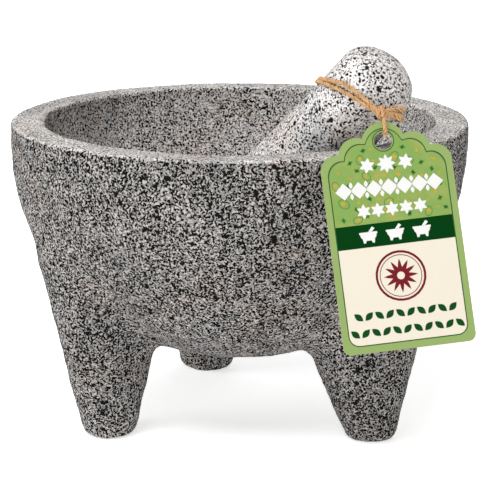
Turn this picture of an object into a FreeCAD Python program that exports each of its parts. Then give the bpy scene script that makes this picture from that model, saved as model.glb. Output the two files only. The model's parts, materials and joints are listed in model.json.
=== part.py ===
import FreeCAD, Part
import math
import os

V = FreeCAD.Vector
os.makedirs("parts", exist_ok=True)

# Frame: the ground is z = 0, the bowl's axis is the Z axis, -Y is the front.

# ---- Driving dimensions, mm and degrees --------------------------------------------------
RIM_DIAMETER = 203.2        # an eight inch bowl
HEIGHT = 138.0              # ground to rim
WALL_AT_RIM = 14.9
WAIST_Z = HEIGHT - 11.0     # below this the outside is half an ellipsoid
BOWL_BOTTOM_Z = 30.0
CAVITY_DEPTH = 68.0
RIM_OUTER_ROUND = 1.8
RIM_INNER_ROUND = 1.6

# Each leg: angle round the bowl, foot's distance out as a share of the rim's radius,
# radius at the ground, growth of the radius per mm of height, outward lean per mm of height.
LEGS = {
    "back": (105.0, 0.630, 13.0, 0.20, 0.00),
    "front_left": (208.0, 0.650, 12.2, 0.215, 0.00),
    "front_right": (328.0, 0.674, 11.4, 0.310, -0.12),
}
LEG_SHOULDER_Z = HEIGHT - 58.0  # above this a leg rounds off inside the wall
FOOT_ROUND = 5.0
FOOT_SPARE = 1.0            # of leg below the ground, cut off flat

PESTLE_LENGTH = 0.6053 * RIM_DIAMETER
PESTLE_NECK_RADIUS = 16.6
PESTLE_BASE_RADIUS = 22.6
PESTLE_TOP_DOME = 11.0      # length of the rounded top end
PESTLE_BASE_DOME = 20.0     # length of the rounded grinding end
PESTLE_SWELL = -0.7         # of the side at half length, against straight
PESTLE_TILT = 43.5          # from upright
PESTLE_HEADING = -40.0      # the way it leans, from +X
PESTLE_REST_HEADING = -51.2  # where on the rim it rests
SEAT_GAP = 0.35             # kept between the loose pieces

TWINE = 2.0                 # thickness of the strand
TWINE_GAP = 0.35            # from strand to pestle
NECK_LOOP_DOWN = 22.6       # from the pestle's top end to the loop, on the axis
NECK_LOOP_SLACK = 1.8       # for the neck's growth along the pestle
NECK_LOOP_TILT = 32.0       # of the loop against square
KNOT_RADIUS = 2.4
KNOT_TURN = 43.0            # of the knot round the neck, from the underside to the front
# Each tail: length, fall per mm towards the side, start above the knot's centre.
TAILS = ((10.0, 0.05, 0.7), (8.0, -0.30, -0.9))

CARD_WIDTH = 51.2
CARD_HEIGHT = 81.0          # from the hole's centre to the foot
CARD_THICK = 0.6
CARD_CORNER = 3.0
CARD_LOBE_RADIUS = 8.6      # the middle lobe round the hole
CARD_LOBE_DOWN = 1.1        # of each curve's centre, under the hole's centre
CARD_STEP_RADIUS = 7.0
CARD_STEP_OUT = 11.0
CARD_STEP_DOWN = 4.6
CARD_SHOULDER_RADIUS = 6.3
CARD_SHOULDER_DOWN = 9.8
CARD_HOLE = 7.1
CARD_LEAN = 20.0            # of the card's foot, outward from upright, or more to clear
CARD_CLEARANCE = 0.3        # from the card to the bowl
CARD_SLANT = 7.0            # of the card in its own plane
HOLE_BELOW_KNOT = 10.3
CARD_ASIDE = -1.2           # of the hole, from under the knot
STRAND_IN_HOLE = 1.6        # the strand's place under the hole's centre
LINK_ROUND = 2.9            # bend of the tag loop at the card
LINK_TOP_ROUND = 2.95 * TWINE   # bend of the tag loop round the knot


def revolve(edges):
    """A solid turned about Z from edges that close on the axis."""
    face = Part.Face(Part.Wire(edges))
    return face.revolve(V(0, 0, 0), V(0, 0, 1), 360)


def line(a, b):
    return Part.makeLine(V(*a), V(*b))


def ellipse_quarter(radius, depth, top_z):
    """The low outer quarter of an upright ellipse, from its side in to the axis."""
    side = V(radius, 0, top_z)
    low = V(0, 0, top_z - depth)
    centre = V(0, 0, top_z)
    ends = (side, low) if radius >= depth else (low, side)
    curve = Part.Ellipse(ends[0], ends[1], centre)
    a = curve.parameter(ends[0])
    b = curve.parameter(ends[1])
    if abs(b - a) > math.pi:
        a, b = (a - 2 * math.pi, b) if a > b else (a, b - 2 * math.pi)
    return curve.toBSpline(min(a, b), max(a, b)).toShape()


# ---- Mortar: bowl and three legs, one stone ------------------------------------------------
def bowl_blank():
    r = RIM_DIAMETER / 2
    edges = [
        ellipse_quarter(r, WAIST_Z - BOWL_BOTTOM_Z, WAIST_Z),
        line((r, 0, WAIST_Z), (r, 0, HEIGHT)),
        line((r, 0, HEIGHT), (0, 0, HEIGHT)),
        line((0, 0, HEIGHT), (0, 0, BOWL_BOTTOM_Z)),
    ]
    solid = revolve(Part.__sortEdges__(edges))
    rim = [e for e in solid.Edges if abs(e.BoundBox.ZMin - HEIGHT) < 1e-6
           and abs(e.BoundBox.ZMax - HEIGHT) < 1e-6 and e.BoundBox.XMax > r - 1e-6]
    return solid.makeFillet(RIM_OUTER_ROUND, rim)


def cavity():
    r = RIM_DIAMETER / 2 - WALL_AT_RIM
    edges = [
        ellipse_quarter(r, CAVITY_DEPTH, HEIGHT),
        line((r, 0, HEIGHT), (r, 0, HEIGHT + 5)),
        line((r, 0, HEIGHT + 5), (0, 0, HEIGHT + 5)),
        line((0, 0, HEIGHT + 5), (0, 0, HEIGHT - CAVITY_DEPTH)),
    ]
    return revolve(Part.__sortEdges__(edges))


def leg(angle, out, foot, growth, lean):
    """A tapered round leg, a little too long at the foot, its round top buried in the wall."""
    shoulder = foot + growth * LEG_SHOULDER_Z
    slope = math.atan(growth)
    # The foot's edge is rounded between the flat and the taper.
    half = math.radians(90) - slope
    run = FOOT_ROUND * math.tan(half / 2)
    low = (foot - run, 0, 0)
    high = (foot + run * math.sin(slope), 0, run * math.cos(slope))
    centre = (foot - run, 0, FOOT_ROUND)
    turn = half / 2
    mid = (centre[0] + FOOT_ROUND * math.sin(turn), 0, FOOT_ROUND - FOOT_ROUND * math.cos(turn))
    ball_z = LEG_SHOULDER_Z + shoulder * growth
    ball = math.hypot(shoulder, shoulder * growth)
    top = (0, 0, ball_z + ball)
    bend = math.radians(45) + slope / 2
    over = (ball * math.sin(bend), 0, ball_z + ball * math.cos(bend))
    under = (low[0], 0, -FOOT_SPARE)
    edges = [
        line((0, 0, -FOOT_SPARE), under),
        line(under, low),
        Part.Arc(V(*low), V(*mid), V(*high)).toShape(),
        line(high, (shoulder, 0, LEG_SHOULDER_Z)),
        Part.Arc(V(shoulder, 0, LEG_SHOULDER_Z), V(*over), V(*top)).toShape(),
        line(top, (0, 0, -FOOT_SPARE)),
    ]
    solid = revolve(edges)
    # A leaning leg is sheared rather than turned, so its foot meets the ground squarely.
    shear = FreeCAD.Matrix()
    shear.A13 = lean
    if lean:
        solid = solid.transformGeometry(shear)
    solid.translate(V(out * RIM_DIAMETER / 2, 0, 0))
    solid.rotate(V(0, 0, 0), V(0, 0, 1), angle)
    return solid


def mortar():
    stone = bowl_blank().fuse([leg(*sizes) for sizes in LEGS.values()])
    wide = 2 * RIM_DIAMETER
    ground = Part.makeBox(wide, wide, 10, V(-wide / 2, -wide / 2, -10))
    stone = stone.cut([cavity(), ground]).removeSplitter()
    r = RIM_DIAMETER / 2 - WALL_AT_RIM
    inner = [e for e in stone.Edges if abs(e.BoundBox.ZMin - HEIGHT) < 1e-6
             and abs(e.BoundBox.ZMax - HEIGHT) < 1e-6 and e.BoundBox.XMax < r + 1e-3]
    return stone.makeFillet(RIM_INNER_ROUND, inner).Solids[0]


# ---- Pestle ---------------------------------------------------------------------------------
def tilted(direction_deg, tilt_deg):
    a = math.radians(direction_deg)
    t = math.radians(tilt_deg)
    return V(math.sin(t) * math.cos(a), math.sin(t) * math.sin(a), math.cos(t))


PESTLE_AXIS = tilted(PESTLE_HEADING, PESTLE_TILT)


def pestle_blank():
    """Upright, its grinding end at the origin and its top up."""
    neck_z = PESTLE_LENGTH - PESTLE_TOP_DOME
    low = ellipse_quarter(PESTLE_BASE_RADIUS, PESTLE_BASE_DOME, PESTLE_BASE_DOME)
    high = ellipse_quarter(PESTLE_NECK_RADIUS, PESTLE_TOP_DOME, 0)
    high.rotate(V(0, 0, 0), V(1, 0, 0), 180)
    high.translate(V(0, 0, neck_z))
    # The side curves gently between the grinding end and the neck.
    mid = V((PESTLE_BASE_RADIUS + PESTLE_NECK_RADIUS) / 2 + PESTLE_SWELL, 0,
            (neck_z + PESTLE_BASE_DOME) / 2)
    side = Part.BSplineCurve()
    side.interpolate([V(PESTLE_BASE_RADIUS, 0, PESTLE_BASE_DOME), mid,
                      V(PESTLE_NECK_RADIUS, 0, neck_z)])
    edges = [low, side.toShape(), high, line((0, 0, PESTLE_LENGTH), (0, 0, 0))]
    return revolve(Part.__sortEdges__(edges))


def push(shape, against, way, gap):
    """Move the shape along `way` until it stands `gap` off the other shape."""
    shape = shape.copy()
    far = 0.0
    for _ in range(20):
        go = shape.distToShape(against)[0] - gap
        if abs(go) < 0.005:
            break
        shape.translate(way * go)
        far += go
    return shape, far


def seat_pestle(stone):
    """Lean the pestle in the bowl: out against the rim's inner edge and down on the floor."""
    shape = pestle_blank()
    shape.rotate(V(0, 0, 0), V(0, 0, 1).cross(PESTLE_AXIS), PESTLE_TILT)
    heading = math.radians(PESTLE_REST_HEADING)
    r_in = RIM_DIAMETER / 2 - WALL_AT_RIM
    contact = V(r_in * math.cos(heading), r_in * math.sin(heading), HEIGHT)
    up = V(0, 0, 1) - PESTLE_AXIS * PESTLE_AXIS.z
    up.normalize()
    foot = contact + up * (PESTLE_BASE_RADIUS + 6) - PESTLE_AXIS * (PESTLE_LENGTH * 0.7)
    shape.translate(foot)
    wide = RIM_DIAMETER + 20
    split_z = HEIGHT - CAVITY_DEPTH / 4
    rim = stone.common(Part.makeBox(wide, wide, HEIGHT, V(-wide / 2, -wide / 2, split_z)))
    floor = stone.common(Part.makeBox(wide, wide, split_z, V(-wide / 2, -wide / 2, 0)))
    for _ in range(3):
        shape, far = push(shape, rim, up * -1, SEAT_GAP)
        foot += up * -far
        shape, far = push(shape, floor, PESTLE_AXIS * -1, SEAT_GAP)
        foot += PESTLE_AXIS * -far
    return shape, foot


# ---- Twine ----------------------------------------------------------------------------------
def tube(path, radius):
    """A round strand along a smooth wire."""
    wire = Part.Wire(path)
    first = wire.OrderedEdges[0]
    start = first.valueAt(first.FirstParameter)
    way = first.tangentAt(first.FirstParameter)
    if (start - wire.OrderedVertexes[0].Point).Length > 1e-6:
        start = first.valueAt(first.LastParameter)
        way = first.tangentAt(first.LastParameter) * -1
    ring = Part.Wire(Part.makeCircle(radius, start, way))
    return wire.makePipeShell([ring], True, False)


def neck_loop(top, knot):
    """The doubled strand: round the neck and tangent to the knot, side by side."""
    centre = top - PESTLE_AXIS * NECK_LOOP_DOWN
    out = knot - centre
    # The plane holds the knot; `across` lies in it, square to the way out to the knot.
    square = out.cross(PESTLE_AXIS)
    across = V(square).normalize()
    normal = out.cross(across)
    normal.normalize()
    if normal.dot(PESTLE_AXIS) < 0:
        normal = normal * -1
    lean = abs(normal.dot(PESTLE_AXIS))
    r = (PESTLE_NECK_RADIUS + NECK_LOOP_SLACK + TWINE_GAP + TWINE / 2) / lean
    d = out.Length
    u = V(out).normalize()
    open_angle = math.acos(r / d)
    t1 = centre + u * (r * math.cos(open_angle)) + across * (r * math.sin(open_angle))
    t2 = centre + u * (r * math.cos(open_angle)) - across * (r * math.sin(open_angle))
    back = centre - u * r
    strands = []
    for shift in (-0.5, 0.5):
        aside = normal * (shift * (TWINE + 0.15))
        # The runs end inside the knot, where they are still clear of each other.
        end1 = knot + V(t1 - knot).normalize() * (KNOT_RADIUS * 0.75)
        end2 = knot + V(t2 - knot).normalize() * (KNOT_RADIUS * 0.75)
        path = [
            Part.makeLine(end1 + aside, t1 + aside),
            Part.Arc(t1 + aside, back + aside, t2 + aside).toShape(),
            Part.makeLine(t2 + aside, end2 + aside),
        ]
        strands.append(tube(path, TWINE / 2))
    return strands


# ---- Card -----------------------------------------------------------------------------------
def card():
    """Flat in XZ, its hole's centre at the origin, its printed side to -Y."""
    half = CARD_WIDTH / 2
    t = CARD_THICK
    foot_z = -CARD_HEIGHT
    shoulder_x = half - CARD_SHOULDER_RADIUS

    def slab(x0, x1, z0, z1):
        return Part.makeBox(x1 - x0, t, z1 - z0, V(x0, -t / 2, z0))

    def disc(x, z, r):
        return Part.makeCylinder(r, t, V(x, -t / 2, z), V(0, 1, 0))

    body = slab(-half, half, foot_z, -CARD_SHOULDER_DOWN)
    body = body.fuse([
        slab(-shoulder_x, shoulder_x, foot_z, -CARD_STEP_DOWN),
        slab(-CARD_STEP_OUT, CARD_STEP_OUT, foot_z, -CARD_LOBE_DOWN),
        disc(-shoulder_x, -CARD_SHOULDER_DOWN, CARD_SHOULDER_RADIUS),
        disc(shoulder_x, -CARD_SHOULDER_DOWN, CARD_SHOULDER_RADIUS),
        disc(-CARD_STEP_OUT, -CARD_STEP_DOWN, CARD_STEP_RADIUS),
        disc(CARD_STEP_OUT, -CARD_STEP_DOWN, CARD_STEP_RADIUS),
        disc(0, -CARD_LOBE_DOWN, CARD_LOBE_RADIUS),
    ])
    body = body.cut(disc(0, 0, CARD_HOLE / 2)).removeSplitter()
    corners = [e for e in body.Edges if e.BoundBox.YLength > t * 0.9
               and e.BoundBox.ZMax < foot_z + 1e-6]
    return body.makeFillet(CARD_CORNER, corners).Solids[0]


def hang_card(knot, stone):
    """The card under the knot, leaned out until it hangs clear of the bowl, and its turn."""
    lean = CARD_LEAN
    while True:
        turn = FreeCAD.Rotation(V(1, 0, 0), -lean).multiply(
            FreeCAD.Rotation(V(0, 1, 0), -CARD_SLANT))
        hole = knot + turn.multVec(V(CARD_ASIDE, 0, -HOLE_BELOW_KNOT))
        shape = card()
        shape.Placement = FreeCAD.Placement(hole, turn)
        if shape.distToShape(stone)[0] >= CARD_CLEARANCE or lean > 60:
            return shape, turn
        lean += 0.5


def tag_loop():
    """Round the knot at the origin and through the card's hole, in the YZ plane."""
    top = LINK_TOP_ROUND
    low = V(0, 0, -HOLE_BELOW_KNOT + LINK_ROUND - STRAND_IN_HOLE)
    d = low.Length
    # Two circles of different size, and the runs that touch both.
    s = (top - LINK_ROUND) / d
    c = math.sqrt(1 - s * s)
    up_front = V(0, -top * c, -top * s)
    up_back = V(0, top * c, -top * s)
    low_front = low + V(0, -LINK_ROUND * c, -LINK_ROUND * s)
    low_back = low + V(0, LINK_ROUND * c, -LINK_ROUND * s)
    path = [
        Part.Arc(up_front, V(0, 0, top), up_back).toShape(),
        Part.makeLine(up_back, low_back),
        Part.Arc(low_back, low + V(0, 0, -LINK_ROUND), low_front).toShape(),
        Part.makeLine(low_front, up_front),
    ]
    return tube(path, TWINE / 2)


# ---- Build ----------------------------------------------------------------------------------
nodes = {}
nodes["mortar"] = mortar()
nodes["pestle"], pestle_foot = seat_pestle(nodes["mortar"])
pestle_top = pestle_foot + PESTLE_AXIS * PESTLE_LENGTH

# The knot stands off the neck on the front, below the top end and clear of the rim.
knot_way = PESTLE_AXIS * PESTLE_AXIS.z - V(0, 0, 1)
knot_way = FreeCAD.Rotation(PESTLE_AXIS, -KNOT_TURN).multVec(knot_way.normalize())
knot_off = PESTLE_NECK_RADIUS + LINK_TOP_ROUND + TWINE / 2 + 2 * SEAT_GAP
knot_rise = math.tan(math.radians(NECK_LOOP_TILT)) * knot_off
knot = (pestle_top - PESTLE_AXIS * (NECK_LOOP_DOWN - knot_rise)) + knot_way * knot_off

lower, upper = neck_loop(pestle_top, knot)
nodes["twine_neck_loop_upper"] = upper
nodes["twine_neck_loop_lower"] = lower

tag, turn = hang_card(knot, nodes["mortar"])
card_up = turn.multVec(V(0, 0, 1))
card_across = turn.multVec(V(1, 0, 0))

tails = []
for length, drop, rise in TAILS:
    way = V(card_across.x, card_across.y, card_across.z - drop).normalize()
    start = knot + way * (KNOT_RADIUS * 0.6) + card_up * rise
    tails.append(Part.makeCylinder(TWINE / 2, length, start, way))
knot_ball = Part.makeSphere(KNOT_RADIUS, knot)
nodes["twine_knot"] = knot_ball.fuse(tails).cut([upper, lower])

loop = tag_loop()
loop.Placement = FreeCAD.Placement(knot, turn)
nodes["twine_tag_loop"] = loop
nodes["hang_tag"] = tag

print("foot", pestle_foot, "top", pestle_top, "knot", knot, "across", card_across)
for name, shape in nodes.items():
    print(name, "solids", len(shape.Solids), "valid", shape.isValid(), shape.BoundBox)
    shape.exportStep(f"parts/{name}.step")
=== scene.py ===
import json
import math
import random

import bmesh
import bpy
import numpy as np
from mathutils import Matrix, Vector, bvhtree, noise


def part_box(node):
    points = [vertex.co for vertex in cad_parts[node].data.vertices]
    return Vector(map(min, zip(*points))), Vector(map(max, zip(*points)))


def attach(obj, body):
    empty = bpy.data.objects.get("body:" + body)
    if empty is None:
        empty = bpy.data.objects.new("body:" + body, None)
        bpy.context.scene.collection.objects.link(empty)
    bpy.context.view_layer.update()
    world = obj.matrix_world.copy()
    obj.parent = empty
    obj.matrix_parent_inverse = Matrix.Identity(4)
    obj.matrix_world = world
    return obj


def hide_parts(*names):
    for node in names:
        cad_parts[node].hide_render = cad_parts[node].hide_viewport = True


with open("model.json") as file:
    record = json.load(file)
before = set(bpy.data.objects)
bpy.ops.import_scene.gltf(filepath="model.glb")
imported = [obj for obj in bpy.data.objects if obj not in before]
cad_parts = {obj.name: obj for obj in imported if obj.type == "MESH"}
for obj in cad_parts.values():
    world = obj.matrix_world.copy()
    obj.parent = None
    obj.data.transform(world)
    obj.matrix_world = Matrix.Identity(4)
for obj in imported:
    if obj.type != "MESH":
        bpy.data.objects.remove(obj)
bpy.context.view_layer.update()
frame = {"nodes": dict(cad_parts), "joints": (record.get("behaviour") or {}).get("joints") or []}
MM = 0.001

# ---- What the frame says ---------------------------------------------------------------------
SWING = next(j for j in frame["joints"] if j["name"] == "tag_swing")
KNOT = np.array(SWING["pos_m"], float)
CARD_ACROSS = -np.array(SWING["axis"], float)
CARD_ACROSS /= np.linalg.norm(CARD_ACROSS)


def node_points(name):
    """The node's vertices in the row frame, in metres."""
    obj = frame["nodes"][name]
    flat = np.empty(len(obj.data.vertices) * 3, np.float32)
    obj.data.vertices.foreach_get("co", flat)
    world = np.array(obj.matrix_world)
    return flat.reshape(-1, 3) @ world[:3, :3].T + world[:3, 3]


CARD_POINTS = node_points("hang_tag")
# The card is flat, so its thin direction is its face's.
CARD_FRONT = np.linalg.svd(CARD_POINTS - CARD_POINTS.mean(0), full_matrices=False)[2][2]
CARD_FRONT *= -np.sign(CARD_FRONT[1])
CARD_UP = np.cross(CARD_FRONT, CARD_ACROSS)
CARD_UP *= np.sign(CARD_UP[2])
CARD_ACROSS = np.cross(CARD_UP, CARD_FRONT)
CARD_ACROSS *= np.sign(CARD_ACROSS[0])

PESTLE_TILT = math.radians(43.5)
PESTLE_HEADING = math.radians(-40.0)
PESTLE_AXIS = np.array([
    math.sin(PESTLE_TILT) * math.cos(PESTLE_HEADING),
    math.sin(PESTLE_TILT) * math.sin(PESTLE_HEADING),
    math.cos(PESTLE_TILT),
])


# ---- Materials ---------------------------------------------------------------------------------
class Nodes:
    """Short calls for building a material's node tree."""

    def __init__(self, name):
        self.material = bpy.data.materials.new(name)
        self.material.use_nodes = True
        self.tree = self.material.node_tree
        self.shader = self.tree.nodes["Principled BSDF"]

    def link(self, source, target):
        self.tree.links.new(source, target)

    def add(self, kind, **values):
        node = self.tree.nodes.new(kind)
        for key, value in values.items():
            setattr(node, key, value)
        return node

    def put(self, socket, value):
        if isinstance(value, bpy.types.NodeSocket):
            self.link(value, socket)
        elif isinstance(value, tuple) and len(value) == 3 and socket.type == "RGBA":
            socket.default_value = (*value, 1)
        else:
            socket.default_value = value

    def math(self, operation, a, b):
        node = self.add("ShaderNodeMath", operation=operation)
        self.put(node.inputs[0], a)
        self.put(node.inputs[1], b)
        return node.outputs[0]

    def step(self, value, low, high, out_low=0.0, out_high=1.0):
        """A smooth step of the value between low and high."""
        node = self.add("ShaderNodeMapRange", interpolation_type="SMOOTHSTEP")
        for socket, v in zip(node.inputs[:5], (value, low, high, out_low, out_high)):
            self.put(socket, v)
        return node.outputs[0]

    def mix(self, factor, a, b, blend="MIX"):
        node = self.add("ShaderNodeMix", data_type="RGBA", blend_type=blend)
        self.put(node.inputs[0], factor)
        self.put(node.inputs[6], a)
        self.put(node.inputs[7], b)
        return node.outputs[2]

    def coords(self):
        """The row frame in millimetres."""
        node = self.add("ShaderNodeTexCoord")
        scale = self.add("ShaderNodeVectorMath", operation="SCALE")
        self.link(node.outputs["Object"], scale.inputs[0])
        scale.inputs["Scale"].default_value = 1000
        return scale.outputs[0]

    def noise(self, place, scale, detail=2.0, rough=0.5):
        node = self.add("ShaderNodeTexNoise")
        self.link(place, node.inputs["Vector"])
        node.inputs["Scale"].default_value = scale
        node.inputs["Detail"].default_value = detail
        node.inputs["Roughness"].default_value = rough
        return node

    def warped(self, place, scale, amount):
        """The place pushed about by noise, by up to about `amount` millimetres."""
        wobble = self.noise(place, scale, 2.0)
        shift = self.add("ShaderNodeVectorMath", operation="MULTIPLY_ADD")
        self.link(wobble.outputs["Color"], shift.inputs[0])
        shift.inputs[1].default_value = (2 * amount,) * 3
        shift.inputs[2].default_value = (-amount,) * 3
        add = self.add("ShaderNodeVectorMath", operation="ADD")
        self.link(place, add.inputs[0])
        self.link(shift.outputs[0], add.inputs[1])
        return add.outputs[0]

    def grains(self, place, size, share, smallest, largest):
        """Round grains about `size` apart; `share` of the cells hold one. Radii are shares of size."""
        cell = self.add("ShaderNodeTexVoronoi")
        self.link(place, cell.inputs["Vector"])
        cell.inputs["Scale"].default_value = 1 / size
        parts = self.add("ShaderNodeSeparateColor")
        self.link(cell.outputs["Color"], parts.inputs[0])
        radius = self.step(parts.outputs[0], 1 - share, 1.0, smallest, largest)
        held = self.math("GREATER_THAN", parts.outputs[0], 1 - share)
        depth = self.math("SUBTRACT", radius, cell.outputs["Distance"])
        edge = self.step(depth, -0.03, 0.07)
        return self.math("MULTIPLY", edge, held)


def grey(level, tint=(1.0, 1.0, 1.0)):
    return tuple(level * t for t in tint)


CRYSTAL_AND_LIP_HIGHLIGHT = 1.0               # brightness of the pale crystals, and from it of the painted highlight on the pores' lips
PORE_SHADE = 0.004                # and of the painted shade at the bottom of a pore


def stone(name, dark, light, tint, pores_at, roughness, worn_lit_dark, worn_lit_pale):
    """Vesicular basalt: a salt-and-pepper ground, crooked open pores and pale crystals.

    The ground runs from dark to light, or between the two paler colours given for wear where the wear
    attribute is 1. That attribute is wear on the rim and the pestle; inside the mortar's bowl it also
    gives painted light, a paler ground standing in for the light that falls into the hollow. The lower
    pores_at is, the more pores there are.
    """
    n = Nodes(name)
    place = n.warped(n.coords(), 0.9, 0.45)
    worn_and_lit = n.add("ShaderNodeAttribute", attribute_name="worn_and_lit").outputs["Fac"]
    grain = n.noise(place, 0.95, 2.0, 0.6).outputs["Fac"]
    fine = n.noise(place, 2.6, 2.0, 0.6).outputs["Fac"]
    broad = n.noise(place, 0.030, 3.0, 0.55).outputs["Fac"]
    blush = n.noise(place, 0.045).outputs["Fac"]
    cool = n.noise(place, 0.060).outputs["Fac"]
    ground = n.mix(n.step(grain, 0.42, 0.61), grey(dark, tint), grey(light, tint))
    # Where the wear attribute is high the ground is paler: worn stone, and inside the mortar's bowl
    # also painted light.
    worn_lit_ground = n.mix(n.step(grain, 0.40, 0.62), grey(worn_lit_dark, tint), grey(worn_lit_pale, tint))
    ground = n.mix(worn_and_lit, ground, worn_lit_ground)
    ground = n.mix(n.step(blush, 0.50, 0.72, 0.0, 0.75), ground, (1.0, 0.90, 0.84), "MULTIPLY")
    ground = n.mix(n.step(cool, 0.52, 0.74, 0.0, 0.75), ground, (0.93, 0.96, 1.0), "MULTIPLY")
    ground = n.mix(n.step(broad, 0.40, 0.66, 0.0, 0.55), ground, (0.62, 0.62, 0.62), "MULTIPLY")
    crystals = n.grains(place, 1.7, 0.36, 0.12, 0.30)
    ground = n.mix(n.math("MULTIPLY", crystals, 0.85), ground, grey(CRYSTAL_AND_LIP_HIGHLIGHT))
    # Crooked pores come from a threshold on noise, and the round ones from cells.
    crooked = n.noise(place, 1.14, 1.5, 0.50).outputs["Fac"]
    crowd = n.step(n.noise(place, 0.14, 2.0, 0.6).outputs["Fac"], 0.36, 0.64, -0.022, 0.022)
    level = n.math("ADD", pores_at, n.math("MULTIPLY", worn_and_lit, 0.06))
    level = n.math("ADD", level, crowd)
    crooked = n.math("SUBTRACT", crooked, level)
    pore_lip_highlight = n.step(crooked, -0.055, -0.004)
    crooked = n.step(crooked, 0.0, 0.020)
    large = n.grains(place, 4.6, 0.42, 0.08, 0.27)
    small = n.grains(place, 1.7, 0.50, 0.20, 0.38)
    cells = n.math("MAXIMUM", large, small)
    cells = n.math("MULTIPLY", cells, n.step(worn_and_lit, 0.0, 1.0, 1.0, 0.45))
    pores = n.math("MAXIMUM", crooked, cells)
    # Painted highlight: the thin lips of the pores are painted pale, as if their edges catch the
    # light.
    ground = n.mix(n.math("MULTIPLY", pore_lip_highlight, 0.42), ground, grey(CRYSTAL_AND_LIP_HIGHLIGHT * 0.8, tint))
    # Painted shade: the pores are filled with near black, standing in for the shade inside their
    # hollows.
    colour = n.mix(n.math("MULTIPLY", pores, 0.99), ground, grey(PORE_SHADE))
    n.link(colour, n.shader.inputs["Base Color"])
    n.link(n.step(worn_and_lit, 0.0, 1.0, roughness, roughness - 0.16), n.shader.inputs["Roughness"])
    n.link(n.step(pores, 0.0, 1.0, 0.25, 0.0), n.shader.inputs["Specular IOR Level"])
    height = n.math("ADD", n.math("MULTIPLY", grain, 0.35), n.math("MULTIPLY", fine, 0.12))
    height = n.math("MULTIPLY", height, n.step(worn_and_lit, 0.0, 1.0, 1.0, 0.3))
    height = n.math("SUBTRACT", height, n.math("MULTIPLY", pores, 0.60))
    bump = n.add("ShaderNodeBump")
    bump.inputs["Strength"].default_value = 0.8
    bump.inputs["Distance"].default_value = 1.0 * MM
    n.link(height, bump.inputs["Height"])
    n.link(bump.outputs[0], n.shader.inputs["Normal"])
    return n.material


def paper(name, colour, vary=0.06, roughness=0.5, mottled=None):
    """Printed or plain card: a faint fibre grain and a slightly uneven ink."""
    n = Nodes(name)
    place = n.coords()
    fibre = n.noise(place, 2.2, 4.0, 0.65).outputs["Fac"]
    cloud = n.noise(place, 0.12, 2.0).outputs["Fac"]
    darker = tuple(c * (1 - vary * 2) for c in colour)
    base = n.mix(n.step(fibre, 0.3, 0.7, 0.0, 0.6), colour, darker)
    if mottled:
        base = n.mix(n.step(cloud, 0.42, 0.66, 0.0, 0.8), base, mottled)
    n.link(base, n.shader.inputs["Base Color"])
    n.shader.inputs["Specular IOR Level"].default_value = 0.04
    n.link(n.step(fibre, 0.2, 0.8, roughness - 0.06, roughness + 0.10), n.shader.inputs["Roughness"])
    bump = n.add("ShaderNodeBump")
    bump.inputs["Strength"].default_value = 0.25
    bump.inputs["Distance"].default_value = 0.06 * MM
    n.link(fibre, bump.inputs["Height"])
    n.link(bump.outputs[0], n.shader.inputs["Normal"])
    return n.material


def jute(name, pale, deep, shade_grooves=False):
    """Plied bast fibre in straw and brown, with painted shade in the grooves between its plies if
    asked.
    """
    n = Nodes(name)
    place = n.coords()
    streak = n.noise(place, 3.2, 3.0, 0.65).outputs["Fac"]
    patch = n.noise(place, 0.35, 2.0).outputs["Fac"]
    base = n.mix(n.step(streak, 0.35, 0.65), deep, pale)
    base = n.mix(n.step(patch, 0.45, 0.7, 0.0, 0.35), base, tuple(c * 0.6 for c in deep))
    if shade_grooves:
        proud = n.add("ShaderNodeAttribute", attribute_name="proud").outputs["Fac"]
        # Painted shade: low-lying ply surfaces, in the grooves between the plies, are darkened to
        # stand in for the shade there.
        base = n.mix(n.step(proud, 0.55, 0.92, 0.92, 0.0), base, tuple(c * 0.28 for c in deep))
    n.link(base, n.shader.inputs["Base Color"])
    n.link(n.step(streak, 0.3, 0.7, 0.7, 0.9), n.shader.inputs["Roughness"])
    bump = n.add("ShaderNodeBump")
    bump.inputs["Strength"].default_value = 0.6
    bump.inputs["Distance"].default_value = 0.15 * MM
    n.link(streak, bump.inputs["Height"])
    n.link(bump.outputs[0], n.shader.inputs["Normal"])
    return n.material


MORTAR_STONE = stone("mortar_stone", dark=0.16, light=0.50, tint=(1.0, 0.955, 0.92),
                     pores_at=0.488, roughness=0.86, worn_lit_dark=0.46, worn_lit_pale=0.84)
PESTLE_STONE = stone("pestle_stone", dark=0.60, light=0.92, tint=(1.0, 0.965, 0.945),
                     pores_at=0.553, roughness=0.78, worn_lit_dark=0.58, worn_lit_pale=0.86)
TWINE = jute("jute_twine", (0.68, 0.42, 0.20), (0.46, 0.235, 0.088), True)
TWINE_FUZZ = jute("jute_fuzz", (0.85, 0.62, 0.36), (0.70, 0.46, 0.22))


# ---- Mesh helpers ------------------------------------------------------------------------------
def new_object(name, points, faces, material, body):
    mesh = bpy.data.meshes.new(name)
    mesh.from_pydata([tuple(p) for p in points], [], faces)
    mesh.materials.append(material)
    obj = bpy.data.objects.new(name, mesh)
    bpy.context.scene.collection.objects.link(obj)
    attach(obj, body)
    return obj


def shade_smooth(obj):
    obj.data.polygons.foreach_set("use_smooth", [True] * len(obj.data.polygons))
    obj.data.update()


def copy_of(node, name):
    """The CAD node's mesh as a new object in the row frame."""
    source = frame["nodes"][node]
    obj = source.copy()
    obj.data = source.data.copy()
    obj.name = name
    obj.parent = None
    obj.matrix_world = Matrix.Identity(4)
    obj.data.transform(source.matrix_world)
    for key in list(obj.keys()):
        if key.startswith("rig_"):
            del obj[key]
    bpy.context.scene.collection.objects.link(obj)
    obj.data.materials.clear()
    return obj


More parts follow.
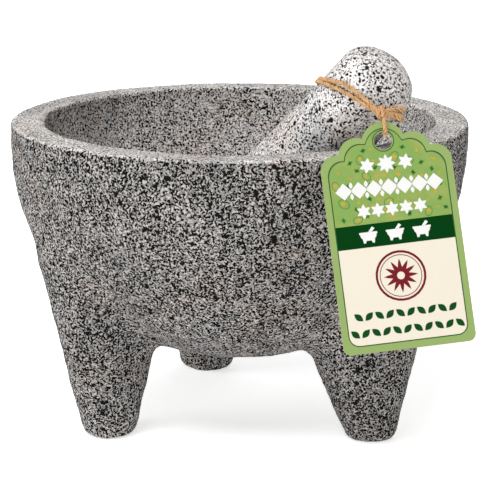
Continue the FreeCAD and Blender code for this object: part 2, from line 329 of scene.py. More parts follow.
def modifier(obj, kind, **values):
    """Adds the modifier and applies it."""
    mod = obj.modifiers.new(kind.lower(), kind)
    for key, value in values.items():
        setattr(mod, key, value)
    depsgraph = bpy.context.evaluated_depsgraph_get()
    mesh = bpy.data.meshes.new_from_object(obj.evaluated_get(depsgraph))
    obj.modifiers.clear()
    obj.data = mesh


def coordinates(obj):
    flat = np.empty(len(obj.data.vertices) * 3, np.float32)
    obj.data.vertices.foreach_get("co", flat)
    return flat.reshape(-1, 3).astype(float)


def normals(obj):
    flat = np.empty(len(obj.data.vertices) * 3, np.float32)
    obj.data.vertices.foreach_get("normal", flat)
    return flat.reshape(-1, 3).astype(float)


def set_coordinates(obj, points):
    obj.data.vertices.foreach_set("co", points.astype(np.float32).ravel())
    obj.data.update()


def attribute(obj, name, values):
    layer = obj.data.attributes.new(name, "FLOAT", "POINT")
    layer.data.foreach_set("value", np.asarray(values, np.float32))


def field(points, size, seed, octaves=2):
    """Smooth noise from -1 to 1 at the points, with waves about `size` metres long."""
    offset = Vector((seed * 17.3, seed * 5.1, seed * 9.7))
    out = np.empty(len(points))
    for i, p in enumerate(points):
        out[i] = noise.fractal(Vector(p) / size + offset, 1.0, 2.0, octaves)
    return np.clip(out, -1, 1)


def smooth01(value, low, high):
    t = np.clip((value - low) / (high - low), 0, 1)
    return t * t * (3 - 2 * t)


# ---- Mortar ------------------------------------------------------------------------------------
RIM_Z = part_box("mortar")[1][2]
BOWL_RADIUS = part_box("mortar")[1][0]
WAIST_Z = 127 * MM
BOWL_BOTTOM_Z = 30 * MM
WALL = 14.9 * MM
CAVITY_DEPTH = 68 * MM
LEG_SHOULDER_Z = 80 * MM
CREASE = 6 * MM             # width of the join where leg and bowl meet at an angle
FLUSH_JOIN = 13 * MM        # and where one runs on into the other
CREASE_LEVELS = 8           # steps of smoothing from beside a crease to in it
# Angle, foot's distance out, radius at the ground, then the radius's growth and the outward
# lean, both for each metre of height.
LEGS = (
    (105.0, 64.0 * MM, 13.0 * MM, 0.20, 0.00),
    (208.0, 66.0 * MM, 12.2 * MM, 0.215, 0.00),
    (328.0, 68.5 * MM, 11.4 * MM, 0.310, -0.12),
)


def off_bowl(p):
    """Roughly how far each point stands off the bowl's outside."""
    down = np.minimum(p[:, 2] - WAIST_Z, 0) / (WAIST_Z - BOWL_BOTTOM_Z)
    across = np.hypot(p[:, 0], p[:, 1]) / BOWL_RADIUS
    return (np.hypot(down, across) - 1) * (BOWL_RADIUS * 0.96)


def off_leg(p, angle, out, foot, growth, lean):
    """Roughly how far each point stands off a leg: a cone with a round top in the wall."""
    a = math.radians(angle)
    centre = out + lean * p[:, 2]
    away = np.hypot(p[:, 0] - centre * math.cos(a), p[:, 1] - centre * math.sin(a))
    cone = (away - foot - growth * p[:, 2]) / math.hypot(1, growth)
    shoulder = foot + growth * LEG_SHOULDER_Z
    ball_z = LEG_SHOULDER_Z + shoulder * growth
    ball = np.hypot(away, p[:, 2] - ball_z) - math.hypot(shoulder, shoulder * growth)
    return np.where(p[:, 2] > LEG_SHOULDER_Z, ball, cone)


def in_cavity(p):
    """Which points are on the inside of the bowl."""
    down = (p[:, 2] - RIM_Z) / CAVITY_DEPTH
    across = np.hypot(p[:, 0], p[:, 1]) / (BOWL_RADIUS - WALL)
    return np.hypot(down, across) < 1.035


def slope_of(away, p):
    """The direction in which the distance grows fastest, at each point."""
    step = 0.5 * MM
    here = away(p)
    grown = [away(p + np.eye(3)[k] * step) - here for k in range(3)]
    slope = np.stack(grown, axis=1)
    return slope / np.maximum(np.linalg.norm(slope, axis=1), 1e-12)[:, None]


def crease_fill(p):
    """How far stone swells out in the creases of bowl and legs, and how near each point is."""
    swell = np.zeros(len(p))
    near = np.zeros(len(p))
    bowl = np.maximum(off_bowl(p), 0)
    bowl_slope = slope_of(off_bowl, p)
    for sizes in LEGS:
        away = np.maximum(off_leg(p, *sizes), 0)
        other = np.maximum(bowl, away)
        slope = slope_of(lambda q: off_leg(q, *sizes), p)
        angled = smooth01(-np.sum(slope * bowl_slope, axis=1), -0.85, -0.35)
        width = FLUSH_JOIN + (CREASE - FLUSH_JOIN) * angled
        fill = np.maximum(width - other, 0) / width * (0.45 + 0.55 * angled)
        swell = np.maximum(swell, fill ** 2 * width / 4)
        close = 1 - smooth01(other, width * 0.4, width * 1.2)
        near = np.maximum(near, close * (1 - 0.6 * angled))
    return swell, near


def keep_crisp(points, weight):
    """The weighted points drawn back onto the CAD stone, so that the rim keeps its edges."""
    source = frame["nodes"]["mortar"]
    place = source.matrix_world
    corners = [place @ v.co for v in source.data.vertices]
    tree = bvhtree.BVHTree.FromPolygons(corners, [tuple(f.vertices) for f in source.data.polygons])
    for i in np.nonzero(weight > 0)[0]:
        near = np.array(tree.find_nearest(Vector(points[i]))[0])
        points[i] += (near - points[i]) * weight[i]
    return points


def build_mortar():
    """The CAD stone, its creases filled and its surface dressed as if pecked by hand."""
    obj = copy_of("mortar", "stone_mortar")
    modifier(obj, "REMESH", mode="VOXEL", voxel_size=1.32 * MM)
    p = coordinates(obj)
    out = normals(obj)
    inside = in_cavity(p)
    swell, near = crease_fill(p)
    swell[inside] = 0
    near[inside] = 0
    p += out * swell[:, None]
    set_coordinates(obj, p)
    group = obj.vertex_groups.new(name="crease")
    level = np.round(near * CREASE_LEVELS).astype(int)
    for k in range(1, CREASE_LEVELS + 1):
        group.add(np.nonzero(level == k)[0].tolist(), k / CREASE_LEVELS, "REPLACE")
    modifier(obj, "SMOOTH", factor=0.5, iterations=70, vertex_group="crease")
    modifier(obj, "SMOOTH", factor=0.5, iterations=6)
    p = coordinates(obj)
    p = keep_crisp(p, smooth01(p[:, 2], RIM_Z - 7 * MM, RIM_Z - 4 * MM))
    set_coordinates(obj, p)
    out = normals(obj)
    # Slow unevenness of a hand-shaped stone, then the dents of the pecking tool.
    top = smooth01(p[:, 2], RIM_Z - 1.5 * MM, RIM_Z - 0.4 * MM) * (out[:, 2] > 0.5)
    wave = field(p, 34 * MM, 1) * 0.75 * MM
    dents = field(p, 8 * MM, 2, 3) * 0.34 * MM
    pecks = field(p, 2.6 * MM, 3, 2) * 0.20 * MM
    sole = smooth01(p[:, 2], 0.2 * MM, 3 * MM)
    push = wave * (1 - 0.75 * top) * sole + (dents + pecks) * (1 - 0.8 * top)
    p += out * (push - 0.35 * MM * sole)[:, None]
    lowest, highest = (np.array(v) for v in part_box("mortar"))
    p = np.clip(p, lowest, highest)
    set_coordinates(obj, p)
    # The rim's flat and the bowl's inside are ground smooth; the inside is also painted paler, as
    # painted light standing in for the light that falls into the bowl.
    lip = smooth01(p[:, 2], RIM_Z - 1.5 * MM, RIM_Z - 0.8 * MM)
    attribute(obj, "worn_and_lit", np.maximum(lip, 0.62 * in_cavity(p)))
    obj.data.materials.append(MORTAR_STONE)
    shade_smooth(obj)
    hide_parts("mortar")
    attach(obj, "mortar")


build_mortar()


# ---- Pestle ------------------------------------------------------------------------------------
def axis_frame(points):
    """Two directions square to the pestle's axis, and the axis's place among them."""
    one = np.cross(PESTLE_AXIS, (0, 0, 1))
    one /= np.linalg.norm(one)
    two = np.cross(PESTLE_AXIS, one)
    a = points @ one
    b = points @ two
    return one, two, (a.min() + a.max()) / 2, (b.min() + b.max()) / 2


PESTLE_POINTS = node_points("pestle")
SIDE, UNDER, SIDE_AT, UNDER_AT = axis_frame(PESTLE_POINTS)
ALONG = PESTLE_POINTS @ PESTLE_AXIS
PESTLE_TOP = ALONG.max()
PESTLE_LENGTH = ALONG.max() - ALONG.min()


def radius_profile():
    """How far down from the top end each CAD vertex is, in order, and its radius there."""
    away = np.hypot(PESTLE_POINTS @ SIDE - SIDE_AT, PESTLE_POINTS @ UNDER - UNDER_AT)
    down = PESTLE_TOP - ALONG
    order = np.argsort(down)
    return down[order], away[order]


DOWN_STEPS, RADII = radius_profile()


def pestle_radius(down):
    return np.interp(down, DOWN_STEPS, RADII)


def build_pestle():
    """The CAD pestle with the unevenness of a dressed stone."""
    obj = copy_of("pestle", "stone_pestle")
    modifier(obj, "REMESH", mode="VOXEL", voxel_size=0.85 * MM)
    modifier(obj, "SMOOTH", factor=0.5, iterations=5)
    p = coordinates(obj)
    out = normals(obj)
    down = PESTLE_TOP - p @ PESTLE_AXIS
    wave = field(p, 30 * MM, 5) * 0.35 * MM
    dents = field(p, 6 * MM, 6, 3) * 0.16 * MM
    p += out * (wave + dents - 0.30 * MM)[:, None]
    set_coordinates(obj, p)
    # Grinding has polished the lower end.
    ground = smooth01(down, PESTLE_LENGTH - 30 * MM, PESTLE_LENGTH - 8 * MM)
    attribute(obj, "worn_and_lit", 0.10 + 0.45 * ground)
    obj.data.materials.append(PESTLE_STONE)
    shade_smooth(obj)
    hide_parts("pestle")
    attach(obj, "pestle")


build_pestle()


# ---- Twine -------------------------------------------------------------------------------------
STRAND = 0.85 * MM          # radius of each of the doubled strand's lines
PLIES = 3
PLY_TURN = 4.6 * MM         # length in which a ply goes once round
PLY_SIDES = 8
STEP = 0.30 * MM            # between the points of a strand
LONGEST_FIBRE = 2.4 * MM


def spline(points, spacing):
    """Points evenly spaced on a smooth curve through the given ones."""
    points = np.array(points, float)
    ends = np.vstack([2 * points[0] - points[1], points, 2 * points[-1] - points[-2]])
    out = []
    for i in range(1, len(ends) - 2):
        p0, p1, p2, p3 = ends[i - 1:i + 3]
        for t in np.linspace(0, 1, 12, endpoint=False):
            out.append(0.5 * (2 * p1 + (p2 - p0) * t + (2 * p0 - 5 * p1 + 4 * p2 - p3) * t ** 2
                              + (3 * p1 - p0 - 3 * p2 + p3) * t ** 3))
    out.append(points[-1])
    out = np.array(out)
    run = np.r_[0, np.cumsum(np.linalg.norm(np.diff(out, axis=0), axis=1))]
    count = max(4, int(run[-1] / spacing) + 1)
    at = np.linspace(0, run[-1], count)
    return np.stack([np.interp(at, run, out[:, k]) for k in range(3)], axis=1)


def frames(line):
    """Two directions square to the line at each point, carried along it without twist."""
    ways = np.gradient(line, axis=0)
    ways /= np.linalg.norm(ways, axis=1)[:, None]
    first = np.cross(ways[0], (0.31, 0.52, 0.79))
    first /= np.linalg.norm(first)
    ones = [first]
    for way in ways[1:]:
        one = ones[-1] - way * (ones[-1] @ way)
        ones.append(one / np.linalg.norm(one))
    ones = np.array(ones)
    return ways, ones, np.cross(ways, ones)


def tube_mesh(line, radii, sides, points, faces):
    """Adds a tube round the line to the lists."""
    _, ones, twos = frames(line)
    start = len(points)
    for at, one, two, r in zip(line, ones, twos, radii):
        for k in range(sides):
            a = 2 * math.pi * k / sides
            points.append(at + (one * math.cos(a) + two * math.sin(a)) * r)
    for i in range(len(line) - 1):
        for k in range(sides):
            a = start + i * sides + k
            b = start + i * sides + (k + 1) % sides
            faces.append((a, b, b + sides, a + sides))
    faces.append(tuple(start + k for k in reversed(range(sides))))
    last = start + (len(line) - 1) * sides
    faces.append(tuple(last + k for k in range(sides)))


def twisted(route, fray):
    """The plies of a twisted strand along the route; `fray` of its far end opens out."""
    line = spline(route, STEP)
    _, ones, twos = frames(line)
    run = np.linspace(0, 1, len(line)) * len(line) * STEP
    points = []
    faces = []
    opened = smooth01(run, run[-1] - fray, run[-1]) if fray else np.zeros(len(run))
    for k in range(PLIES):
        phase = 2 * math.pi * k / PLIES
        angle = phase + 2 * math.pi * run / PLY_TURN + 0.25 * np.sin(run / (3 * MM) + k)
        away = STRAND * (0.50 + 0.05 * np.sin(run / (1.7 * MM) + 2 * k)) * (1 + 1.1 * opened)
        ply = line + (ones * np.cos(angle)[:, None] + twos * np.sin(angle)[:, None]) * away[:, None]
        thick = STRAND * (0.50 + 0.05 * np.sin(run / (1.1 * MM) + 3 * k)) * (1 - 0.45 * opened)
        tube_mesh(ply, thick, PLY_SIDES, points, faces)
    # How far out each point lies; the twine's material paints shade where it is low, in the grooves
    # between the plies.
    middle = np.tile(np.repeat(line, PLY_SIDES, axis=0), (PLIES, 1))
    proud = np.linalg.norm(np.array(points) - middle, axis=1) / STRAND
    return line, points, faces, proud


def fuzz(line, count, rng):
    """Points and faces of loose fibres that stand off a strand."""
    points = []
    faces = []
    ways, ones, twos = frames(line)
    for _ in range(count):
        i = rng.randrange(2, len(line) - 2)
        a = rng.uniform(0, 2 * math.pi)
        out = ones[i] * math.cos(a) + twos[i] * math.sin(a)
        along = ways[i] * rng.choice((-1, 1))
        length = rng.uniform(0.4, 1.0) * LONGEST_FIBRE
        start = line[i] + out * STRAND * 0.85
        bend = np.array([rng.uniform(-1, 1) for _ in range(3)])
        hair = [start, start + (along * 0.8 + out * 0.25) * length * 0.5,
                start + (along * 0.85 + out * 0.5 + bend * 0.3) * length]
        hair = spline(hair, length / 5)
        thin = np.linspace(0.06, 0.02, len(hair)) * MM
        tube_mesh(hair, thin, 3, points, faces)
    return points, faces


def strand(name, route, body, seed, node=None, fray=0.0, hairs=14):
    """A twisted strand and its fibres, `hairs` of them for each 10 mm."""
    line, points, faces, proud = twisted(route, fray)
    obj = new_object(name, points, faces, TWINE, body)
    attribute(obj, "proud", proud)
    shade_smooth(obj)
    if node:
        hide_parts(node)
    length = np.linalg.norm(np.diff(line, axis=0), axis=1).sum()
    points, faces = fuzz(line, int(hairs * length / (10 * MM)), random.Random(seed))
    new_object(name + "_fibres", points, faces, TWINE_FUZZ, body)


KNOT_ANGLE = math.atan2(KNOT @ UNDER - UNDER_AT, KNOT @ SIDE - SIDE_AT)
LOOP_NEAR = 8.5 * MM        # down from the top end, where the loop passes under the knot
LOOP_FAR = 36.0 * MM        # and on the far side


def on_neck(turn, shift):
    """A point of the loop's centreline at an angle round the neck from the knot."""
    near = (1 + math.cos(turn)) / 2
    apart = 1 + 0.9 * math.exp(-((math.degrees(turn) - 305) / 22) ** 2)
    down = LOOP_FAR + (LOOP_NEAR - LOOP_FAR) * near + shift * apart
    away = pestle_radius(down) + STRAND * 0.75
    a = KNOT_ANGLE + turn
    return (PESTLE_AXIS * (PESTLE_TOP - down)
            + SIDE * (SIDE_AT + away * math.cos(a)) + UNDER * (UNDER_AT + away * math.sin(a)))


def neck_route(shift):
    """From the knot round the neck and back to it."""
    turns = np.radians(np.arange(46, 315, 12))
    route = [KNOT + PESTLE_AXIS * -shift * 0.4]
    route += [on_neck(t, shift) for t in turns]
    route.append(KNOT + PESTLE_AXIS * -shift * 0.4)
    return route


for label, shift, seed in (("upper", -0.88 * MM, 11), ("lower", 0.88 * MM, 12)):
    strand("jute_neck_" + label, neck_route(shift), "pestle", seed, "twine_neck_loop_" + label)


def knot_route():
    """An overhand wrap: the strand winds round the others and tucks under itself."""
    route = []
    for t in np.linspace(0, 2 * math.pi * 1.6, 20):
        r = 1.75 * MM
        along = 1.1 * MM * math.sin(t * 0.5)
        route.append(KNOT + CARD_ACROSS * (r * math.cos(t)) + CARD_UP * (r * 0.9 * math.sin(t))
                     + CARD_FRONT * (0.6 * MM * math.cos(2 * t) + along * 0.5))
    return route


def knot_cross():
    """The turn of the knot that binds it from front to back."""
    route = []
    for t in np.linspace(-0.6, 2 * math.pi + 0.2, 16):
        r = 1.7 * MM
        route.append(KNOT + CARD_FRONT * (r * math.cos(t)) + CARD_UP * (r * math.sin(t))
                     + CARD_ACROSS * (0.5 * MM * math.sin(t * 1.5)))
    return route


strand("jute_knot", knot_route(), "pestle", 21, "twine_knot", hairs=20)
strand("jute_knot_bind", knot_cross(), "pestle", 22, hairs=20)
# Each cut end: its start above the knot, its reach aside, its end's rise over its start, in
# millimetres, and its seed.
TAILS = (
    (1.0, 9.2, 0.2, 31),
    (-0.6, 7.2, -2.0, 32),
)
for number, (rise, reach, lift, seed) in enumerate(TAILS):
    route = [
        KNOT + CARD_UP * rise * MM,
        KNOT + (CARD_ACROSS * 3.5 + CARD_UP * (rise + 0.5)) * MM,
        KNOT + (CARD_ACROSS * reach * 0.6 + CARD_UP * (rise + 0.2 + lift * 0.4)
                + CARD_FRONT * 0.6) * MM,
        KNOT + (CARD_ACROSS * reach + CARD_UP * (rise + lift)) * MM,
    ]
    strand(f"jute_tail_{number + 1}", route, "pestle", seed, fray=4.0 * MM, hairs=30)

HOLE_DROP = 10.3 * MM       # the hole's centre, down the card from the knot
HOLE_ASIDE = -1.2 * MM
HOLE = KNOT - CARD_UP * HOLE_DROP + CARD_ACROSS * HOLE_ASIDE
LINK_LOW = 2.4 * MM         # half width of the loop at the card
LINK_END = 2.4 * MM         # the loop's lowest point, over the hole's centre


def link_route():
    """Down in front of the card, through its hole, whose top edge hangs on it, and back up."""
    low = -HOLE_DROP + LINK_END + LINK_LOW
    shape = [(1.2, 3.0), (2.1, 2.0), (2.3, 0.0), (2.3, -1.6), (2.4, -3.4)]
    front = [CARD_FRONT * f * MM + CARD_UP * u * MM for f, u in shape]
    bend = []
    for a in np.radians((0, -35, -70, -90, -110, -145, -180)):
        bend.append(CARD_FRONT * LINK_LOW * math.cos(a) + CARD_UP * (low + LINK_LOW * math.sin(a)))
    back = [CARD_FRONT * -f * MM + CARD_UP * u * MM for f, u in reversed(shape)]
    return [KNOT + v for v in front + bend + back]


strand("jute_tag_loop", link_route(), "tag", 41, "twine_tag_loop")


# ---- Card --------------------------------------------------------------------------------------
# Everything here is in the card's own plane: across and up from the hole's centre, in mm.
CARD_HALF = 25.6
CARD_THICK = 0.6
CARD_HOLE = 7.1
TOP_CURVES = (              # centre across, centre up, radius; mirrored
    (0.0, -1.1, 8.6),
    (11.0, -4.6, 7.0),
    (19.3, -9.8, 6.3),
)
NEARLY = 0.99999            # keeps the outermost steps on the curves of the top edge


def card_point(across, up, lift):
    """A point over the card's printed face, `lift` mm off it."""
    return HOLE + (CARD_ACROSS * across + CARD_UP * up + CARD_FRONT * (CARD_THICK / 2 + lift)) * MM


def top_edge(across, inset):
    """The height of a copy of the card's top edge, narrowed and lowered by the inset."""
    across *= CARD_HALF / (CARD_HALF - inset)
    best = -99.0
    for centre, up, radius in TOP_CURVES:
        for side in (-1, 1):
            off = abs(across - side * centre)
            if off < radius:
                best = max(best, up + math.sqrt(radius * radius - off * off))
            if abs(across) <= centre:
                best = max(best, up)
    return best - inset


def outline(inset, foot, corner, count=96):
    """The card's outline, drawn in by the inset, from its left foot up and over to its right."""
    half = CARD_HALF - inset
    shoulder = TOP_CURVES[2][1]
    points = []
    for t in np.radians(np.linspace(-90, -180, 7)):
        points.append((-half + corner + corner * math.cos(t), foot + corner + corner * math.sin(t)))
    for t in np.linspace(-1, 1, count):
        # Closer steps by the sides, where the shoulder turns down.
        across = half * math.sin(t * math.pi / 2) * NEARLY
        points.append((across, max(shoulder - inset, top_edge(across, inset))))
    for t in np.radians(np.linspace(0, -90, 7)):
        points.append((half - corner + corner * math.cos(t), foot + corner + corner * math.sin(t)))
    return points


def flat_shape(rings, lift):
    """Points and faces of filled plane shapes, raised off the card."""
    points = []
    faces = []
    for ring in rings:
        start = len(points)
        points += [card_point(a, u, lift) for a, u in ring]
        faces.append(tuple(range(start, start + len(ring))))
    return points, faces


def printed(name, rings, material, lift):
    """Ink in the shape of the rings, `lift` mm off the card."""
    points, faces = flat_shape(rings, lift)
    obj = new_object(name, points, faces, material, "tag")
    work = bmesh.new()
    work.from_mesh(obj.data)
    bmesh.ops.triangulate(work, faces=work.faces[:], quad_method="BEAUTY", ngon_method="EAR_CLIP")
    for face in work.faces:
        if face.normal.dot(Vector(CARD_FRONT)) < 0:
            face.normal_flip()
    work.to_mesh(obj.data)
    work.free()


def band_between(outer, inner):
    """Quads between two outlines of the same count."""
    rings = []
    for i in range(len(outer)):
        j = (i + 1) % len(outer)
        rings.append([outer[i], outer[j], inner[j], inner[i]])
    return rings


def disc(across, up, radius, sides=28, squash=1.0, turn=0.0):
    """A round outline, or an oval one if it is squashed, turned by an angle."""
    ring = []
    for t in np.linspace(0, 2 * math.pi, sides, endpoint=False):
        x = radius * math.cos(t)
        y = radius * squash * math.sin(t)
        ring.append((across + x * math.cos(turn) - y * math.sin(turn),
                     up + x * math.sin(turn) + y * math.cos(turn)))
    return ring


def ring_of(across, up, radius, width, squash=1.0, turn=0.0):
    """A round or oval line of the given width."""
    outer = disc(across, up, radius, 28, squash, turn)
    inner = disc(across, up, radius - width, 28, squash, turn)
    return band_between(outer, inner)


def leaf(across, up, length, width, turn):
    """A pointed leaf centred on the place."""
    ring = []
    for t in np.linspace(0, 1, 13):
        ring.append((-length / 2 + length * t, width / 2 * math.sin(math.pi * t)))
    for t in np.linspace(1, 0, 13)[1:-1]:
        ring.append((-length / 2 + length * t, -width / 2 * math.sin(math.pi * t)))
    c = math.cos(turn)
    s = math.sin(turn)
    return [(across + x * c - y * s, up + x * s + y * c) for x, y in ring]


def flower(across, up, petals, reach, waist, turn=0.0):
    """One outline of pointed petals, as far out as reach, and waist * reach between them."""
    ring = []
    for t in np.linspace(0, 1, petals * 8, endpoint=False):
        beat = abs(((t * petals) % 1) - 0.5) * 2
        r = reach * (waist + (1 - waist) * beat ** 1.35)
        a = turn + 2 * math.pi * t
        ring.append((across + r * math.cos(a), up + r * math.sin(a)))
    return [ring]


def bowl_mark(across, up, size):
    """A small mortar in one outline: a lip, a round body and two feet; and its pestle."""
    half = [(1.10, 0.52), (1.10, 0.28), (0.98, 0.24)]
    for t in np.radians((-12, -28, -42)):
        half.append((math.cos(t), 0.24 + 0.80 * math.sin(t)))
    half += [(0.66, -0.82), (0.42, -0.82), (0.30, -0.52)]
    body = half + [(-x, y) for x, y in reversed(half)]
    stick = [(0.02, 0.54), (0.52, 1.14), (0.84, 0.92), (0.46, 0.54)]
    return [[(across + x * size, up + y * size) for x, y in shape] for shape in (body, stick)]


def card_body():
    """The card itself, green on its printed side and plain on its back and edges."""
    obj = copy_of("hang_tag", "card_tag")
    green = paper("card_green", (0.255, 0.352, 0.120), 0.05, 0.42)
    plain = paper("card_plain", (0.56, 0.51, 0.41), 0.05, 0.75)
    obj.data.materials.append(plain)
    obj.data.materials.append(green)
    front = Vector(CARD_FRONT)
    for face in obj.data.polygons:
        face.material_index = 1 if face.normal.dot(front) > 0.9 else 0
    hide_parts("hang_tag")
    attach(obj, "tag")


FIELD_LOW = -31.6           # foot of the green field
BAND_LOW = -40.6
PANEL_LOW = -78.0
PANEL_CORNER = 4.0
MARGIN = 2.7                # from the card's edge to the print
ROSETTE_UP = -52.8
LOZENGE_STEP = 5.9
LEAF_STEP = 4.05
INNER_HALF = CARD_HALF - MARGIN

INK_FIELD = paper("ink_field", (0.205, 0.330, 0.085), 0.06, 0.42, (0.275, 0.335, 0.090))
INK_LINE = paper("ink_line", (0.032, 0.091, 0.023), 0.04, 0.42)
INK_SOFT = paper("ink_soft", (0.055, 0.200, 0.035), 0.05, 0.42)
INK_GOLD = paper("ink_gold", (0.50, 0.31, 0.045), 0.05, 0.42)
INK_BAND = paper("ink_band", (0.0006, 0.038, 0.0045), 0.05, 0.38)
INK_CREAM = paper("ink_cream", (0.695, 0.640, 0.530), 0.025, 0.46)
INK_WHITE = paper("ink_white", (0.700, 0.700, 0.680), 0.02, 0.42)
INK_RED = paper("ink_red", (0.160, 0.012, 0.018), 0.06, 0.42)
INK_GREEN = paper("ink_green", (0.005, 0.057, 0.009), 0.05, 0.42)


def ring_without_hole(inset):
    """The field as quads from its outline down to its foot, left open round the hole."""
    rings = []
    steps = np.linspace(-1, 1, 121)
    half = CARD_HALF - inset
    gap = CARD_HOLE / 2 + 0.25
    for a, b in zip(steps[:-1], steps[1:]):
        x0 = half * math.sin(a * math.pi / 2) * NEARLY
        x1 = half * math.sin(b * math.pi / 2) * NEARLY
        y0 = max(TOP_CURVES[2][1] - inset, top_edge(x0, inset))
        y1 = max(TOP_CURVES[2][1] - inset, top_edge(x1, inset))
        h0 = math.sqrt(max(0, gap ** 2 - x0 ** 2))
        h1 = math.sqrt(max(0, gap ** 2 - x1 ** 2))
        if h0 == 0 and h1 == 0:
            rings.append([(x0, FIELD_LOW), (x1, FIELD_LOW), (x1, y1), (x0, y0)])
        else:
            rings.append([(x0, h0), (x1, h1), (x1, y1), (x0, y0)])
            rings.append([(x0, FIELD_LOW), (x1, FIELD_LOW), (x1, -h1), (x0, -h0)])
    return rings


def field_motifs():
    """Halved avocados, leaves, small fruits and dots scattered over the green field."""
    rng = random.Random(7)
    lines = []
    golds = []
    darks = []
    placed = []
    tries = 0
    while len(placed) < 64 and tries < 6000:
        tries += 1
        x = rng.uniform(-INNER_HALF + 2.2, INNER_HALF - 2.2)
        y = rng.uniform(FIELD_LOW + 1.8, 4)
        r = rng.choice((1.0, 1.3, 2.0, 2.4))
        if y + r > top_edge(x, MARGIN + 0.6) or math.hypot(x, y) < 3.9 + r:
            continue
        if any(math.hypot(x - a, y - b) < r + c + 0.35 for a, b, c in placed):
            continue
        placed.append((x, y, r))
        turn = rng.uniform(0, math.pi)
        if r >= 2.0:
            lines += ring_of(x, y, r, 0.30, 0.72, turn)
            golds.append(disc(x + 0.3 * math.cos(turn), y + 0.3 * math.sin(turn), r * 0.34, 14))
        elif r > 1.2:
            darks.append(leaf(x, y, 2.6, 1.1, turn))
            darks.append(leaf(x, y, 2.2, 0.9, turn + 1.2))
        else:
            golds.append(disc(x, y, rng.uniform(0.35, 0.65), 12))
            golds.append(disc(x + 0.9 * math.cos(turn), y + 0.9 * math.sin(turn), 0.3, 10))
    printed("print_avocados", lines, INK_SOFT, 0.05)
    printed("print_seeds", golds, INK_GOLD, 0.05)
    printed("print_leaves", darks, INK_SOFT, 0.055)


def white_marks():
    """Three rows of papercut ornament: flowers, lozenges and leaves."""
    rings = []
    rings += flower(0, -9.0, 8, 3.7, 0.58)
    for side in (-1, 1):
        rings += flower(side * 7.5, -9.0, 6, 3.1, 0.55, 0.3)
    for k in range(-3, 4):
        rings.append(disc(k * LOZENGE_STEP, -18.1, 3.3, 4))
    for k in range(-3, 3):
        x = (k + 0.5) * LOZENGE_STEP
        rings.append(leaf(x, -15.9, 2.6, 1.5, math.pi / 2))
        rings.append(leaf(x, -20.3, 2.6, 1.5, math.pi / 2))
    for k in range(-2, 3):
        rings += flower(k * 5.5, -26.6, 6, 2.9, 0.55, math.pi / 6)
    return rings


def card_print():
    """All the ink, from the field under everything up to the white ornament."""
    printed("print_field", ring_without_hole(MARGIN), INK_FIELD, 0.02)
    half_line = 0.2
    outer = outline(MARGIN - half_line, PANEL_LOW - half_line, PANEL_CORNER + half_line)
    inner = outline(MARGIN + half_line, PANEL_LOW + half_line, PANEL_CORNER - half_line)
    printed("print_outline", band_between(outer, inner), INK_LINE, 0.06)
    hole_ring = ring_of(0, 0, CARD_HOLE / 2 + 0.75, 0.35)
    printed("print_hole_ring", hole_ring, INK_LINE, 0.06)
    band = [(-INNER_HALF, BAND_LOW), (INNER_HALF, BAND_LOW),
            (INNER_HALF, FIELD_LOW), (-INNER_HALF, FIELD_LOW)]
    printed("print_band", [band], INK_BAND, 0.04)
    corner = PANEL_CORNER
    panel = []
    for t in np.radians(np.linspace(-180, -90, 8)):
        panel.append((-INNER_HALF + corner + corner * math.cos(t),
                      PANEL_LOW + corner + corner * math.sin(t)))
    for t in np.radians(np.linspace(-90, 0, 8)):
        panel.append((INNER_HALF - corner + corner * math.cos(t),
                      PANEL_LOW + corner + corner * math.sin(t)))
    panel += [(INNER_HALF, BAND_LOW), (-INNER_HALF, BAND_LOW)]
    printed("print_panel", [panel], INK_CREAM, 0.04)
    field_motifs()
    printed("print_white", white_marks(), INK_WHITE, 0.08)
    bowls = []
    for k in (-1, 0, 1):
        bowls += bowl_mark(k * 10.4, -36.3, 3.2)
    printed("print_bowls", bowls, INK_WHITE, 0.08)
    rosette = ring_of(0, ROSETTE_UP, 9.8, 0.9)
    rosette += ring_of(0, ROSETTE_UP, 8.2, 0.3)
    rosette += flower(0, ROSETTE_UP, 12, 6.6, 0.50)
    printed("print_rosette", rosette, INK_RED, 0.07)
    printed("print_rosette_heart", [disc(0, ROSETTE_UP, 1.5)], INK_CREAM, 0.09)
    rows = []
    for up, count in ((-67.0, 10), (-73.4, 11)):
        for k in range(count):
            x = (k - (count - 1) / 2) * LEAF_STEP
            rows.append(leaf(x, up, 4.4, 2.4, 0.75 if k % 2 else -0.75))
    printed("print_leaf_rows", rows, INK_GREEN, 0.07)


card_body()
card_print()


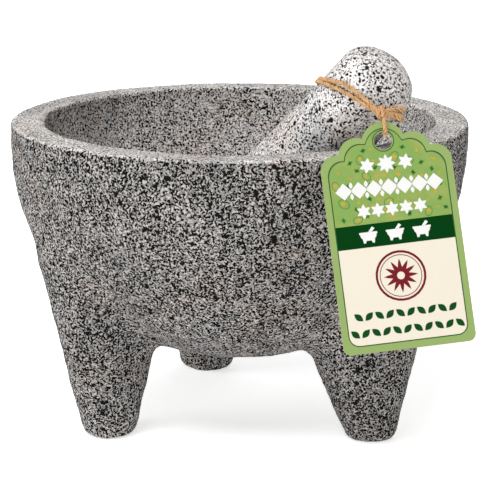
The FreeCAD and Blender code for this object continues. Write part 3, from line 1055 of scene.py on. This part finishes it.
# ---- Floor, light and camera -------------------------------------------------------------------
def studio():
    """A pale floor, soft lights and a long lens from the front, a little above."""
    bpy.ops.mesh.primitive_plane_add(size=8, location=(0, 0, 0))
    floor = bpy.context.object
    floor.name = "floor"
    pale = Nodes("floor_paper")
    pale.shader.inputs["Base Color"].default_value = (0.93, 0.93, 0.93, 1)
    pale.shader.inputs["Roughness"].default_value = 0.9
    pale.shader.inputs["Emission Color"].default_value = (1, 1, 1, 1)
    # The floor glows a little, as a light table does, and more away from the object.
    away = pale.add("ShaderNodeVectorMath", operation="LENGTH")
    pale.link(pale.coords(), away.inputs[0])
    glow = pale.step(away.outputs["Value"], 120.0, 600.0, 0.62, 0.74)
    pale.link(glow, pale.shader.inputs["Emission Strength"])
    floor.data.materials.append(pale.material)
    world = bpy.data.worlds.new("room")
    bpy.context.scene.world = world
    world.use_nodes = True
    world.node_tree.nodes["Background"].inputs[0].default_value = (1, 1, 1, 1)
    world.node_tree.nodes["Background"].inputs[1].default_value = 0.34
    target = Vector((0, 0, 0.08))
    for name, place, size, power in (
        ("key", (-0.35, -0.80, 1.60), 0.8, 25.0),
        ("side", (-1.50, -0.20, 0.55), 0.7, 9.0),
        ("back", (0.3, 1.3, 1.3), 1.0, 5.0),
    ):
        light = bpy.data.lights.new(name, "AREA")
        light.size = size
        light.energy = power
        obj = bpy.data.objects.new(name, light)
        obj.location = place
        obj.rotation_euler = (target - Vector(place)).to_track_quat("-Z", "Y").to_euler()
        bpy.context.scene.collection.objects.link(obj)
    lens = bpy.data.cameras.new("camera")
    lens.lens = 116.95
    lens.sensor_width = 36
    lens.clip_start = 0.01
    camera = bpy.data.objects.new("camera", lens)
    camera.location = (0.0019, -0.7, 0.2586)
    camera.rotation_euler = (math.radians(75.603), 0, 0)
    bpy.context.scene.collection.objects.link(camera)
    bpy.context.scene.camera = camera
    bpy.context.scene.view_settings.view_transform = "Standard"


studio()


def plain(box):
    """The box's corners as lists that JSON takes."""
    return [[float(v) for v in corner] for corner in box]
